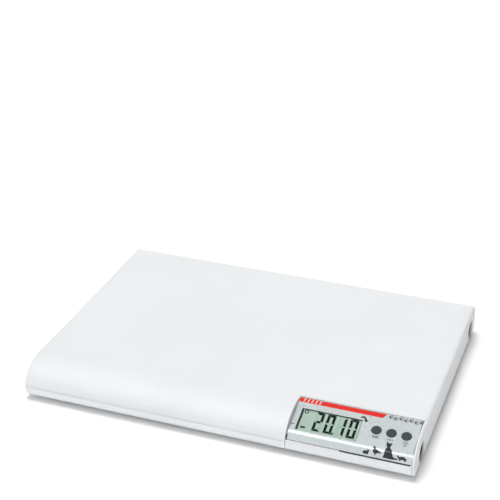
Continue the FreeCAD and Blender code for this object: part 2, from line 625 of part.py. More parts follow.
# ---------------------------------------------------------------- cell cables
def cable(points):
    """A round cable through points, whose arcs are as large as their runs allow."""
    radii = []
    for a, b, c in zip(points, points[1:], points[2:]):
        shorter = min((a - b).Length, (c - b).Length)
        turn = math.pi - (a - b).getAngle(c - b)
        radii.append(0.45 * shorter / math.tan(turn / 2))
    path = Part.Wire(rounded_path(points, radii))
    start = path.Edges[0]
    along = start.tangentAt(start.FirstParameter)
    profile = Part.Wire(Part.Circle(points[0], along, CABLE_R).toShape())
    tube = path.makePipeShell([profile], True, False)
    print("cable", round(path.Length), "mm, volume / expected", round(
        tube.Volume / (math.pi * CABLE_R ** 2 * path.Length), 4), "smallest radius", round(min(radii), 1))
    return tube


def body_cables():
    """One cable per load cell and one from the batteries, along the floor to the board's socket."""
    low = FOOT_GAP + FLOOR + CABLE_R + 0.2
    plug_y, plug_z = -151.0, 17.2
    pitch = 3.0
    lanes = {"cell_cable_front_left": -2, "battery_lead": -1, "cell_cable_rear_left": 0,
             "cell_cable_rear_right": 1, "cell_cable_front_right": 2}
    ways = {
        "cell_cable_front_left": [(-172, -94), (-120, -98), (-60, -104), (0, -111), (60, -111), (112, -108)],
        "battery_lead": [(-23, 4), (4, -14), (24, -46), (48, -80), (80, -100), (114, -103)],
        "cell_cable_rear_left": [(-171, 116), (-130, 104), (-96, 70), (-78, 64), (-10, 60), (28, 18),
                                 (40, -40), (78, -84), (118, -98)],
        "cell_cable_rear_right": [(171, 124), (150, 96), (134, 48), (131, -8), (142, -58)],
        "cell_cable_front_right": [(171, -86), (163, -97)],
    }
    made = {}
    for name, way in ways.items():
        x_end = 152.0 + pitch * lanes[name]
        bend_y = -104.0 + min(lanes[name], 0) * 2.7 - max(lanes[name] - 1, 0) * 9.0
        rise = [(x_end, bend_y, low), (x_end, -133, low), (x_end, plug_y - 2, low + 1.0),
                (x_end, plug_y - 1.2, plug_z)]
        made[name] = cable([V(x, y, low) for x, y in way] + [V(*point) for point in rise])
    return made


# ---------------------------------------------------------------- export
def main():
    parts = {
        "platform_cover": platform_cover(),
        "bottom_shell": bottom_shell(),
        "end_cap_right": end_cap(1),
        "end_cap_left": end_cap(-1),
        "end_cap_screws": end_cap_screws(),
        "shell_screws": shell_screws(),
        "stiffener_plate": stiffener_plate(),
        "display_fascia": display_fascia(),
        "display_housing": display_housing(),
        "display_lens": display_lens(),
        "lcd_frame": lcd_frame(),
        "lcd_glass": lcd_glass(),
        "lcd_reflector": lcd_reflector(),
        "lcd_connectors": lcd_connectors(),
        "circuit_board": circuit_board(),
        "board_components": board_components(),
        "cable_socket": cable_socket(),
        "board_screws": board_screws(),
        "module_screws": module_screws(),
        "keypad_mat": keypad_mat(),
        "battery_box": battery_box(),
        "batteries": batteries(),
        "battery_contacts": battery_contacts(),
        "battery_door": battery_door(),
    }
    for name, x in BUTTON_X.items():
        parts[f"button_{name}"] = button(x)
    retainers, gauges = [], []
    for side, hand in ((-1, "left"), (1, "right")):
        for end, y in PLUG_Y.items():
            parts[f"side_plug_{end}_{hand}"] = plug(side, y)
        for end, y in FOOT_Y.items():
            x = side * FOOT_X
            parts[f"load_cell_{end}_{hand}"] = load_cell(x, y)
            parts[f"cell_bracket_{end}_{hand}"] = cell_bracket(x, y)
            parts[f"foot_post_{end}_{hand}"] = foot_post(x, y)
            parts[f"foot_pad_{end}_{hand}"] = foot_pad(x, y)
            retainers += cell_retainers(x, y)
            gauges.append(strain_gauge(x, y))
    parts["cell_retainers"] = retainers
    parts["strain_gauges"] = gauges
    parts.update(body_cables())

    os.makedirs("parts", exist_ok=True)
    for name, shape in parts.items():
        solids = shape if isinstance(shape, list) else [shape]
        whole = Part.makeCompound([s for shape in solids for s in shape.Solids])
        bad = [s for s in whole.Solids if not s.isValid() or s.Volume <= 0]
        expected = len(solids)
        if bad or len(whole.Solids) != expected:
            print("CHECK", name, "solids", len(whole.Solids), "expected", expected, "bad", len(bad))
        (whole.Solids[0] if len(whole.Solids) == 1 else whole).exportStep(f"parts/{name}.step")
    print(len(parts), "nodes")


main()
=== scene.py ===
"""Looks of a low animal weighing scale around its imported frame: materials, printed panel, display, studio.

Artwork is in mm, and what Blender is given in metres, both in the frame's own axes: +X right, +Y to the
rear, +Z up from the surface that the scale stands on.
"""
import json
import math

import bmesh
import bpy
from mathutils import Matrix, Vector
from mathutils.geometry import tessellate_polygon


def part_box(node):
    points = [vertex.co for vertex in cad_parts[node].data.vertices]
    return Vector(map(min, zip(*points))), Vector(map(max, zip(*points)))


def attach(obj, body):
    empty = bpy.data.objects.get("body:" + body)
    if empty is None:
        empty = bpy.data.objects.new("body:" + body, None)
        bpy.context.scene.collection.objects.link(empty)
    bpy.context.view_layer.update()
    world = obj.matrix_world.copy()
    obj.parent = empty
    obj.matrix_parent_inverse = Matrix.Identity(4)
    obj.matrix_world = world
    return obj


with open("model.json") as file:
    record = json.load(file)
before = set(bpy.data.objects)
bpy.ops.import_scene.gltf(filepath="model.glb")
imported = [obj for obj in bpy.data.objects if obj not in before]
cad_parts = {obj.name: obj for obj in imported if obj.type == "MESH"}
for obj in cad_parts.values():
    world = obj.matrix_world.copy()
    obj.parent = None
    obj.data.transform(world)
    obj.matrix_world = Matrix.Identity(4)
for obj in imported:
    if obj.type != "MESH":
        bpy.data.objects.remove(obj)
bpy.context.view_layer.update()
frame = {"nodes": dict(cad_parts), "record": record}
scene = bpy.context.scene
MM = 0.001

# ------------------------------------------------------------------ the display panel's own surface
PANEL_LINE = (-123.9, 44.2)      # Y, Z of the line that "down the panel" is measured from, in mm
PANEL_TILT = math.radians(18)
PANEL_LIP = (-178.0, 20.8)       # Y, Z of its lower front edge
BEND_CORNER = 50.0               # down the panel to the corner that the bend rounds off
BEND_RADIUS = 9.0
BEND_STEP = 0.4                  # spacing of the cuts that let a print follow the bend


def unit(y, z):
    length = math.hypot(y, z)
    return y / length, z / length


DOWN = (-math.cos(PANEL_TILT), -math.sin(PANEL_TILT))
OUT = (-math.sin(PANEL_TILT), math.cos(PANEL_TILT))
CORNER = (PANEL_LINE[0] + BEND_CORNER * DOWN[0], PANEL_LINE[1] + BEND_CORNER * DOWN[1])
FACE_DOWN = unit(PANEL_LIP[0] - CORNER[0], PANEL_LIP[1] - CORNER[1])
BEND_TURN = math.acos(DOWN[0] * FACE_DOWN[0] + DOWN[1] * FACE_DOWN[1])
BEND_START = BEND_CORNER - BEND_RADIUS * math.tan(BEND_TURN / 2)
BEND_LENGTH = BEND_RADIUS * BEND_TURN
BEND_CENTRE = (PANEL_LINE[0] + BEND_START * DOWN[0] - BEND_RADIUS * OUT[0],
               PANEL_LINE[1] + BEND_START * DOWN[1] - BEND_RADIUS * OUT[1])


def on_panel(x, s, h):
    """The point at x, s down the panel and h out of its surface. They are in mm, and the point in metres."""
    if s <= BEND_START:
        y = PANEL_LINE[0] + s * DOWN[0] + h * OUT[0]
        z = PANEL_LINE[1] + s * DOWN[1] + h * OUT[1]
        return Vector((x, y, z)) * MM
    turned = min((s - BEND_START) / BEND_RADIUS, BEND_TURN)
    out = (math.cos(turned) * OUT[0] + math.sin(turned) * DOWN[0],
           math.cos(turned) * OUT[1] + math.sin(turned) * DOWN[1])
    past = max(s - BEND_START - BEND_LENGTH, 0)
    y = BEND_CENTRE[0] + (BEND_RADIUS + h) * out[0] + past * FACE_DOWN[0]
    z = BEND_CENTRE[1] + (BEND_RADIUS + h) * out[1] + past * FACE_DOWN[1]
    return Vector((x, y, z)) * MM


# ------------------------------------------------------------------ node-based materials
class Look:
    """A Principled material under construction. Its methods add nodes and return sockets."""

    def __init__(self, name, **constants):
        self.material = bpy.data.materials.new(name)
        self.material.use_nodes = True
        self.tree = self.material.node_tree
        self.tree.nodes.clear()
        self.bsdf = self.node("BsdfPrincipled")
        self.bsdf.distribution = "MULTI_GGX"
        self.link(self.bsdf.outputs[0], self.node("OutputMaterial").inputs["Surface"])
        self.place = self.node("TexCoord").outputs["Object"]
        for socket, value in constants.items():
            self.bsdf.inputs[socket.replace("_", " ")].default_value = value

    def node(self, kind):
        return self.tree.nodes.new("ShaderNode" + kind)

    def link(self, source, target):
        if isinstance(source, bpy.types.NodeSocket):
            self.tree.links.new(source, target)
        elif isinstance(source, tuple) and len(source) == 3 and target.type == "RGBA":
            target.default_value = (*source, 1)
        else:
            target.default_value = source

    def drive(self, **sources):
        for socket, source in sources.items():
            self.link(source, self.bsdf.inputs[socket.replace("_", " ")])
        return self

    def noise(self, size_mm, detail, stretch=(1, 1, 1)):
        """Smooth noise from 0 to 1, with features of about size_mm, drawn out along an axis by stretch."""
        place = self.place
        if stretch != (1, 1, 1):
            scaled = self.node("Mapping")
            self.link(place, scaled.inputs["Vector"])
            scaled.inputs["Scale"].default_value = [1 / s for s in stretch]
            place = scaled.outputs[0]
        made = self.node("TexNoise")
        self.link(place, made.inputs["Vector"])
        made.inputs["Scale"].default_value = 1000 / size_mm
        made.inputs["Detail"].default_value = detail
        return made.outputs["Fac"]

    def cells(self, size_mm):
        """A random colour for each cell of about size_mm."""
        made = self.node("TexVoronoi")
        self.link(self.place, made.inputs["Vector"])
        made.inputs["Scale"].default_value = 1000 / size_mm
        return made.outputs["Color"]

    def axis(self, name):
        """One coordinate of the place, in metres."""
        made = self.node("SeparateXYZ")
        self.link(self.place, made.inputs[0])
        return made.outputs[name]

    def math(self, kind, a, b=0.0):
        made = self.node("Math")
        made.operation = kind
        self.link(a, made.inputs[0])
        self.link(b, made.inputs[1])
        return made.outputs[0]

    def spread(self, value, low, high, start=0.3, end=0.7):
        """Maps value, which runs from start to end, to low to high."""
        made = self.node("MapRange")
        self.link(value, made.inputs["Value"])
        for socket, number in zip(("From Min", "From Max", "To Min", "To Max"), (start, end, low, high)):
            made.inputs[socket].default_value = number
        return made.outputs["Result"]

    def blend(self, factor, a, b):
        made = self.node("Mix")
        made.data_type = "RGBA"
        self.link(factor, made.inputs["Factor"])
        self.link(a, made.inputs[6])
        self.link(b, made.inputs[7])
        return made.outputs[2]

    def rounded(self, radius_mm):
        """The surface's normal, turned near edges as if they were rounded."""
        made = self.node("Bevel")
        made.samples = 4
        made.inputs["Radius"].default_value = radius_mm * MM
        return made.outputs[0]

    def edges(self, radius_mm):
        """1 on the rim of sharp edges, 0 on flat faces."""
        dot = self.node("VectorMath")
        dot.operation = "DOT_PRODUCT"
        self.link(self.rounded(radius_mm), dot.inputs[0])
        self.link(self.node("NewGeometry").outputs["Normal"], dot.inputs[1])
        return self.spread(dot.outputs["Value"], 1.0, 0.0, 0.72, 0.98)

    def relief(self, *layers, soft_mm=0.0):
        """Bump from (height, depth in mm) layers, over edges softened by a bevel of soft_mm."""
        normal = self.rounded(soft_mm) if soft_mm else None
        for height, depth_mm in layers:
            bump = self.node("Bump")
            bump.inputs["Strength"].default_value = 1.0
            bump.inputs["Distance"].default_value = depth_mm * MM
            self.link(height, bump.inputs["Height"])
            if normal is not None:
                self.link(normal, bump.inputs["Normal"])
            normal = bump.outputs[0]
        self.link(normal, self.bsdf.inputs["Normal"])
        return self


def moulded(name, colour, worn, rough, grain_mm, depth_mm, soft_mm, **constants):
    """Moulded plastic: slight drift of tone and sheen, spark-eroded grain, and paler rims."""
    look = Look(name, **constants)
    drift = look.noise(95, 2)
    darker = tuple(c * 0.965 for c in colour)
    tone = look.blend(look.spread(drift, 0, 1), darker, colour)
    rim = look.edges(0.7)
    tone = look.blend(look.math("MULTIPLY", rim, 0.5), tone, worn)
    grain = look.noise(grain_mm, 2)
    handled = look.spread(look.noise(38, 5), rough - 0.04, rough + 0.07)
    matt = look.math("ADD", handled, look.spread(grain, -0.03, 0.03))
    return look.drive(Base_Color=tone, Roughness=matt).relief((grain, depth_mm), soft_mm=soft_mm).material


def white_shell():
    return moulded("white_abs", (0.808, 0.82, 0.832), (0.885, 0.89, 0.895), rough=0.5, grain_mm=0.55,
                   depth_mm=0.006, soft_mm=0.5, Specular_IOR_Level=0.3, IOR=1.52)


def silver_panel():
    """Silver-grey lacquer with fine flake under a clear gloss coat."""
    look = Look("silver_lacquer", Metallic=0.3, Coat_Weight=0.6, Coat_Roughness=0.06, Coat_IOR=1.5)
    flake = look.cells(0.16)
    shade = look.node("SeparateColor")
    look.link(flake, shade.inputs[0])
    tone = look.blend(shade.outputs[0], (0.60, 0.645, 0.65), (0.66, 0.705, 0.71))
    tone = look.blend(look.spread(look.noise(60, 2), 0, 0.35), tone, (0.58, 0.63, 0.64))
    rough = look.spread(look.noise(22, 5), 0.24, 0.33)
    rough = look.math("SUBTRACT", rough, look.math("MULTIPLY", look.edges(0.5), 0.06))
    ripple = look.noise(9, 1)
    look.drive(Base_Color=tone, Roughness=rough)
    return look.relief((shade.outputs[1], 0.002), (ripple, 0.008), soft_mm=0.35).material


def clear_lens():
    look = Look("clear_acrylic", Transmission_Weight=1.0, IOR=1.14, Base_Color=(0.97, 0.99, 0.98, 1))
    look.drive(Roughness=look.spread(look.noise(14, 5, (1, 3, 1)), 0.004, 0.012, 0.45, 0.8))
    return look.relief((look.noise(30, 1), 0.002)).material


def lcd_glass():
    """Pale green liquid crystal cell of uneven tone, with the polariser's fine grain."""
    look = Look("lcd_cell", Specular_IOR_Level=0.3)
    tone = look.blend(look.spread(look.noise(28, 2), 0, 1), (0.395, 0.515, 0.44), (0.43, 0.55, 0.48))
    pixel = look.noise(0.12, 1)
    tone = look.blend(look.spread(pixel, 0, 0.12), tone, (0.31, 0.42, 0.35))
    look.drive(Base_Color=tone, Roughness=look.spread(look.noise(6, 3), 0.28, 0.38))
    return look.relief((pixel, 0.002)).material


def lcd_back():
    look = Look("reflector_film", Metallic=0.6)
    tone = look.blend(look.spread(look.noise(12, 2), 0, 1), (0.52, 0.62, 0.55), (0.62, 0.71, 0.64))
    look.drive(Base_Color=tone, Roughness=look.spread(look.noise(0.3, 2), 0.3, 0.45))
    return look.relief((look.noise(0.3, 2), 0.004)).material


def black_plastic():
    return moulded("black_moulding", (0.022, 0.022, 0.024), (0.075, 0.075, 0.08), rough=0.38, grain_mm=0.4,
                   depth_mm=0.006, soft_mm=0.2)


def grey_plastic():
    return moulded("filled_nylon", (0.33, 0.34, 0.35), (0.48, 0.49, 0.5), rough=0.46, grain_mm=0.7,
                   depth_mm=0.01, soft_mm=0.3)


# Mid grey: partly the plug's own colour, partly painted shade, so the floor of each end cap's pocket looks
# shaded.
def plug_grey():
    return moulded("plug_moulding_and_shade", (0.24, 0.245, 0.25), (0.34, 0.345, 0.35), rough=0.5, grain_mm=0.5,
                   depth_mm=0.01, soft_mm=0.3)


def button_grey():
    return moulded("button_soft_touch", (0.048, 0.058, 0.061), (0.11, 0.125, 0.13), rough=0.6, grain_mm=0.35,
                   depth_mm=0.008, soft_mm=0.3, Specular_IOR_Level=0.35)


def rubber(name, colour, worn, grain_mm=0.5):
    return moulded(name, colour, worn, rough=0.72, grain_mm=grain_mm, depth_mm=0.012, soft_mm=0.3,
                   Specular_IOR_Level=0.3)


LAYER_PITCH, FOIL_PITCH = 0.5, 0.45      # mm, along X


def elastomer_strip():
    """Conductive and clear layers in turn, along X."""
    look = Look("layered_elastomer", Specular_IOR_Level=0.3)
    phase = look.math("SINE", look.math("MULTIPLY", look.axis("X"), math.tau / (LAYER_PITCH * MM)))
    layer = look.spread(phase, 0, 1, -0.25, 0.25)
    look.drive(Base_Color=look.blend(layer, (0.05, 0.05, 0.05), (0.72, 0.68, 0.62)),
               Roughness=look.spread(look.noise(0.8, 3), 0.5, 0.7))
    return look.relief((layer, 0.01)).material


def steel(name, colour, rough, grain_mm, stretch, spangle_mm=0):
    """Sheet or turned steel: drawn grain, brighter rims, and zinc spangle if it is galvanised."""
    look = Look(name, Metallic=1.0)
    grain = look.noise(grain_mm, 4, stretch)
    tone = look.blend(look.spread(grain, 0, 1), tuple(c * 0.86 for c in colour), colour)
    matt = look.spread(look.noise(16, 4), rough - 0.05, rough + 0.08)
    if spangle_mm:
        split = look.node("SeparateColor")
        look.link(look.cells(spangle_mm), split.inputs[0])
        tone = look.blend(look.math("MULTIPLY", split.outputs[0], 0.35), tone, (0.78, 0.79, 0.8))
        matt = look.math("ADD", matt, look.math("MULTIPLY", split.outputs[1], 0.12))
    tone = look.blend(look.math("MULTIPLY", look.edges(0.4), 0.6), tone, (0.86, 0.86, 0.86))
    look.drive(Base_Color=tone, Roughness=matt)
    return look.relief((grain, 0.004), soft_mm=0.15).material


def gauge_coating():
    """Foil grid of a strain gauge, seen through its amber backing."""
    look = Look("gauge_film", Coat_Weight=0.5, Coat_Roughness=0.15)
    phase = look.math("SINE", look.math("MULTIPLY", look.axis("X"), math.tau / (FOIL_PITCH * MM)))
    foil = look.spread(phase, 0, 1, -0.2, 0.2)
    tint = look.blend(look.spread(look.noise(2, 3), 0, 1), (0.68, 0.5, 0.22), (0.78, 0.62, 0.32))
    look.drive(Base_Color=look.blend(foil, tint, (0.55, 0.44, 0.32)),
               Roughness=look.spread(foil, 0.4, 0.25, 0, 1))
    return look.relief((foil, 0.01)).material


def board_laminate():
    """Green solder mask, with the grid of the glass weave in a lighter green."""
    look = Look("solder_mask", Coat_Weight=0.4, Coat_Roughness=0.2)
    bricks = look.node("TexBrick")
    look.link(look.place, bricks.inputs["Vector"])
    bricks.inputs["Scale"].default_value = 130
    bricks.inputs["Mortar Size"].default_value = 0.03
    bricks.inputs["Color1"].default_value = (0.02, 0.13, 0.06, 1)
    bricks.inputs["Color2"].default_value = (0.03, 0.17, 0.08, 1)
    bricks.inputs["Mortar"].default_value = (0.06, 0.27, 0.12, 1)
    tone = look.blend(look.spread(look.noise(20, 2), 0, 0.4), bricks.outputs["Color"], (0.02, 0.11, 0.05))
    look.drive(Base_Color=tone, Roughness=look.spread(look.noise(5, 3), 0.3, 0.45))
    return look.relief((bricks.outputs["Fac"], 0.02)).material


def connector_plastic():
    return moulded("natural_nylon", (0.76, 0.73, 0.64), (0.84, 0.82, 0.75), rough=0.4, grain_mm=0.6,
                   depth_mm=0.006, soft_mm=0.2)


COPPER_FROM, BARE_FROM = (0.66, 0.67), (0.955, 0.96)     # shares of half a cell's length


def battery_jacket():
    """Printed shrink sleeve, dark in the middle and coppery at its ends, between bare metal end faces."""
    low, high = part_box("batteries")
    middle, half = (low.x + high.x) / 2, (high.x - low.x) / 2
    look = Look("battery_sleeve")
    away = look.math("ABSOLUTE", look.math("SUBTRACT", look.axis("X"), middle))
    copper = look.spread(away, 0, 1, *(share * half for share in COPPER_FROM))
    bare = look.spread(away, 0, 1, *(share * half for share in BARE_FROM))
    tone = look.blend(copper, (0.03, 0.033, 0.04), (0.62, 0.33, 0.16))
    tone = look.blend(bare, tone, (0.66, 0.66, 0.65))
    scuff = look.spread(look.noise(1.2, 5, (6, 1, 1)), 0, 0.25, 0.6, 0.75)
    tone = look.blend(scuff, tone, (0.4, 0.4, 0.4))
    metal = look.math("MAXIMUM", look.math("MULTIPLY", copper, 0.7), bare)
    look.drive(Base_Color=tone, Metallic=metal, Roughness=look.spread(look.noise(8, 3), 0.22, 0.34))
    return look.relief((look.noise(3, 2), 0.01), soft_mm=0.3).material


def ink(name, colour, rough=0.42, worn=0.06, gloss=0.8):
    """Screen-printed ink: an even film with pinholes and a slightly uneven surface."""
    look = Look(name, Coat_Weight=gloss, Coat_Roughness=0.06, Specular_IOR_Level=0.05 + 0.3 * gloss)
    thin = look.spread(look.noise(0.35, 3), 0, worn, 0.55, 0.8)
    tone = look.blend(thin, colour, tuple(min(c * 1.6 + 0.06, 0.9) for c in colour))
    tone = look.blend(look.spread(look.noise(7, 3), 0, 0.12), tone, tuple(c * 0.8 for c in colour))
    look.drive(Base_Color=tone, Roughness=look.spread(look.noise(2, 3), rough - 0.06, rough + 0.08))
    return look.relief((look.noise(0.4, 2), 0.003)).material


SLOT_LOOKS = {
    "white_shell": white_shell,
    "silver_panel": silver_panel,
    "clear_lens": clear_lens,
    "lcd_glass": lcd_glass,
    "lcd_back": lcd_back,
    "black_plastic": black_plastic,
    "grey_plastic": grey_plastic,
    "plug_grey": plug_grey,
    "button_grey": button_grey,
    "grey_rubber": lambda: rubber("keypad_silicone", (0.27, 0.28, 0.29), (0.36, 0.37, 0.38)),
    "elastomer_strip": elastomer_strip,
    "foot_rubber": lambda: rubber("foot_rubber_black", (0.035, 0.035, 0.037), (0.1, 0.1, 0.1), 0.8),
    "steel_screw": lambda: steel("zinc_plated_steel", (0.62, 0.63, 0.64), 0.3, 0.5, (1, 6, 1)),
    "galvanised_plate": lambda: steel("galvanised_sheet", (0.55, 0.56, 0.57), 0.38, 1.2, (8, 1, 1), 9),
    "cell_steel": lambda: steel("nickel_spring_steel", (0.66, 0.65, 0.62), 0.26, 0.4, (1, 14, 1)),
    "spring_steel": lambda: steel("contact_steel", (0.7, 0.68, 0.62), 0.24, 0.4, (1, 1, 9)),
    "gauge_coating": gauge_coating,
    "board_laminate": board_laminate,
    "connector_plastic": connector_plastic,
    "battery_jacket": battery_jacket,
    "cable_jacket": lambda: rubber("cable_pvc", (0.42, 0.43, 0.44), (0.5, 0.51, 0.52), 0.6),
}


def dress_nodes():
    """Gives every CAD node the look of its slot in the record, and returns the looks by slot."""
    looks = {slot: make() for slot, make in SLOT_LOOKS.items()}
    for row in frame["record"]["subparts"]:
        obj = frame["nodes"][row["node"]]
        for holder in obj.material_slots:
            holder.material = looks[row["material_slot"]]
    lens = frame["nodes"]["display_lens"]      # light reaches the display through the clear window
    lens.visible_shadow = lens.visible_diffuse = False
    return looks


# ------------------------------------------------------------------ outlines, in x and s down the panel
def polygon(*points):
    return [Vector((x, s)) for x, s in points]


def block(x0, x1, s0, s1, lean0=0.0, lean1=0.0):
    """From x0 to x1 and s0 to s1, with ends that lean to the left on the way down, by lean0 and lean1."""
    return polygon((x0, s0), (x1, s0), (x1 - lean1, s1), (x0 - lean0, s1))


def oval(x, s, rx, rs, turn, steps=20):
    made = []
    for i in range(steps):
        a = math.tau * i / steps
        u, v = rx * math.cos(a), rs * math.sin(a)
        made.append(Vector((x + u * math.cos(turn) - v * math.sin(turn),
                            s + u * math.sin(turn) + v * math.cos(turn))))
    return made


def band(x, s, r, width, start=0.0, sweep=360.0, steps=28):
    """A ring, or a part of one, as an outline of quads."""
    quads = []
    for i in range(steps):
        a, b = (math.radians(start + sweep * k / steps) for k in (i, i + 1))
        quads.append(polygon(*[(x + q * math.cos(t), s + q * math.sin(t))
                               for q, t in ((r - width / 2, a), (r + width / 2, a),
                                            (r + width / 2, b), (r - width / 2, b))]))
    return quads


def smooth(points, steps=4):
    """A closed Catmull-Rom outline through the points."""
    made, n = [], len(points)
    for i in range(n):
        a, b, c, d = (Vector(points[(i + k) % n]) for k in (-1, 0, 1, 2))
        for k in range(steps):
            t = k / steps
            made.append(0.5 * (2 * b + (c - a) * t + (2 * a - 5 * b + 4 * c - d) * t * t
                               + (3 * b - a - 3 * c + d) * t ** 3))
    return made


def placed(outline, x, s, scale=1.0):
    """Moves artwork drawn around the origin, x to the right and y up, to x, s on the panel."""
    return [Vector((x + scale * p.x, s - scale * p.y)) for p in outline]


# ------------------------------------------------------------------ pieces
WELD, ON_CUT = 1e-5, 1e-6                # mm: corners that are one, and corners that lie on a cut


def add_piece(sheet, name, material):
    """Turns a bmesh into a piece that rides on the scale's body."""
    bmesh.ops.recalc_face_normals(sheet, faces=sheet.faces)
    mesh = bpy.data.meshes.new(name)
    sheet.to_mesh(mesh)
    sheet.free()
    mesh.materials.append(material)
    obj = bpy.data.objects.new(name, mesh)
    scene.collection.objects.link(obj)
    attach(obj, "body")


def print_on_panel(name, outlines, material, low, high):
    """A thin layer of the given outlines, from low to high mm out of the panel's surface, bent to it."""
    sheet = bmesh.new()
    for outline in outlines:
        corners = [sheet.verts.new((p.x, p.y, 0)) for p in outline]
        for tri in tessellate_polygon([[Vector((p.x, p.y, 0)) for p in outline]]):
            sheet.faces.new([corners[i] for i in tri])
    bmesh.ops.remove_doubles(sheet, verts=sheet.verts, dist=WELD)
    if max(v.co.y for v in sheet.verts) > BEND_START:
        s = BEND_START
        while s < BEND_START + BEND_LENGTH + BEND_STEP:
            geometry = sheet.verts[:] + sheet.edges[:] + sheet.faces[:]
            bmesh.ops.bisect_plane(sheet, geom=geometry, dist=ON_CUT, plane_co=(0, s, 0), plane_no=(0, 1, 0))
            s += BEND_STEP
    bmesh.ops.recalc_face_normals(sheet, faces=sheet.faces)
    for face in sheet.faces:
        if face.normal.z > 0:
            face.normal_flip()
    lifted = bmesh.ops.extrude_face_region(sheet, geom=sheet.faces[:])["geom"]
    tops = {v for v in lifted if isinstance(v, bmesh.types.BMVert)}
    for v in sheet.verts:
        v.co = on_panel(v.co.x, v.co.y, high if v in tops else low)
    add_piece(sheet, name, material)


def swept(rings, closed):
    """A bmesh through rings of points. Closed joins the last to the first, and open puts a cap on both."""
    sheet = bmesh.new()
    rings = [[sheet.verts.new(point) for point in ring] for ring in rings]
    following = rings[1:] + rings[:1] if closed else rings[1:]
    for ring, after in zip(rings, following):
        for a, b, c, d in zip(ring, after, after[1:] + after[:1], ring[1:] + ring[:1]):
            sheet.faces.new((a, b, c, d))
    if not closed:
        sheet.faces.new(rings[0])
        sheet.faces.new(rings[-1][::-1])
    return sheet


# ------------------------------------------------------------------ what is printed on the panel
# Places are x and s down the panel, in mm. A block is x0, x1, s0, s1 and then the lean of its ends.
INK_LOW, INK_HIGH = -0.02, 0.05          # out of the panel's surface
OVER_LOW, OVER_HIGH = 0.04, 0.09         # the same, for what is printed over other ink
STRIPE = (94.9, 201.9, -1.6, 5.0, 0.0, 3.6)
BARS, BAR_FIRST, BAR_PITCH, BAR_WIDTH = 5, 101.2, 4.9, 1.3
BAR_S, BAR_LEAN = (-1.0, 4.2), (1.4, 1.4)
PAWS, PAW_FIRST, PAW_PITCH, PAW_SIZE = 7, (207.2, 1.6), 6.1, 6.1
PAW_ASIDE, PAW_HEADING = 0.5, -math.pi / 2 + 0.15
HOLD_SIGN, ZERO_SIGN, POWER_SIGN = (196.1, 33.7), (214.2, 33.8), (232.4, 34.0)
ARROW = (177.6, 12.0)
DASH = (95.4, 99.6, 38.2, 39.2)

# Outlines drawn around their own origin, x to the right and y up.
PAW_PAD = [(-0.30, -0.30), (0.0, -0.38), (0.30, -0.30), (0.27, -0.05), (0.0, 0.10), (-0.27, -0.05)]
PAW_TOES = ((-0.40, 0.12, 0.35), (-0.15, 0.33, 0.1), (0.15, 0.33, -0.1), (0.40, 0.12, -0.35))    # x, y, turn
TOE_RADII = (0.095, 0.145)
ARROW_TAIL = [(-5.1, 1.0), (-4.4, 2.8), (-2.4, 3.9), (0.2, 3.5), (2.0, 1.9), (3.4, -0.6), (1.4, -0.4),
              (0.2, 1.0), (-1.6, 1.7), (-3.4, 1.5)]
ARROW_HEAD = [(-0.6, -0.2), (5.2, -1.0), (2.9, -4.2)]
RABBIT = [(-3.6, -1.5), (-3.5, -0.3), (-2.6, 0.7), (-1.2, 1.2), (0.2, 0.9), (1.0, 1.0), (1.4, 1.7),
          (1.2, 3.1), (1.9, 3.4), (2.4, 2.0), (3.0, 3.2), (3.6, 2.8), (3.2, 1.5), (3.8, 0.6), (3.4, -0.2),
          (2.7, -0.7), (3.0, -2.5), (1.6, -2.9), (-1.4, -2.9), (-3.0, -2.7)]
BIRD = [(-5.2, 3.8), (-4.3, 5.0), (-2.9, 5.2), (-1.9, 4.2), (-1.7, 2.8), (-0.5, 1.9), (1.5, 1.0),
        (3.5, -0.1), (5.4, -1.2), (5.1, -2.1), (3.3, -2.0), (1.6, -2.3), (0.2, -3.2), (-0.6, -3.5),
        (-0.5, -4.6), (0.4, -5.1), (-1.7, -5.1), (-1.4, -3.6), (-2.9, -3.1), (-4.1, -1.6), (-4.4, 0.4),
        (-3.9, 2.2), (-4.4, 3.1)]
CAT = [(-4.2, 20.9), (-2.4, 18.8), (-0.6, 18.6), (1.6, 19.9), (1.5, 16.6), (1.0, 14.4), (0.6, 13.0),
       (2.4, 11.0), (4.0, 8.6), (5.2, 5.0), (6.8, 2.0), (9.6, 1.5), (12.2, 1.2), (12.4, 0.2), (8.6, -0.4),
       (5.2, -0.9), (-1.0, -0.9), (-4.6, -0.7), (-5.4, 0.4), (-4.4, 2.4), (-4.4, 6.4), (-3.8, 10.0),
       (-2.8, 12.8), (-3.8, 14.6), (-4.6, 16.6), (-4.4, 18.8)]
TORTOISE = [(-6.3, 2.2), (-5.1, 3.3), (-3.9, 2.6), (-2.8, 1.6), (-1.0, 2.5), (1.8, 2.6), (4.4, 1.3),
            (6.2, -0.4), (4.9, -1.0), (4.8, -2.3), (3.3, -2.3), (2.8, -1.1), (-0.8, -1.2), (-1.2, -2.3),
            (-2.8, -2.3), (-3.0, -0.9), (-4.2, 0.0), (-5.1, 1.2)]

# Each one's outline, the steps of its curve between points, x and s.
ANIMALS = ((RABBIT, 4, 190.8, 55.1), (BIRD, 4, 202.8, 52.2), (CAT, 3, 216.2, 57.4),
           (TORTOISE, 4, 233.0, 55.4))


def stripe():
    """Red band along the panel's rear edge, with short pale bars near its left end."""
    red = ink("ink_red", (0.75, 0.024, 0.013), 0.42, 0.06, 0.5)
    pale = ink("ink_white", (0.78, 0.76, 0.74))
    print_on_panel("stripe_red", [block(*STRIPE)], red, INK_LOW, INK_HIGH)
    starts = [BAR_FIRST + BAR_PITCH * i for i in range(BARS)]
    bars = [block(x, x + BAR_WIDTH, *BAR_S, *BAR_LEAN) for x in starts]
    print_on_panel("stripe_bars", bars, pale, OVER_LOW, OVER_HIGH)


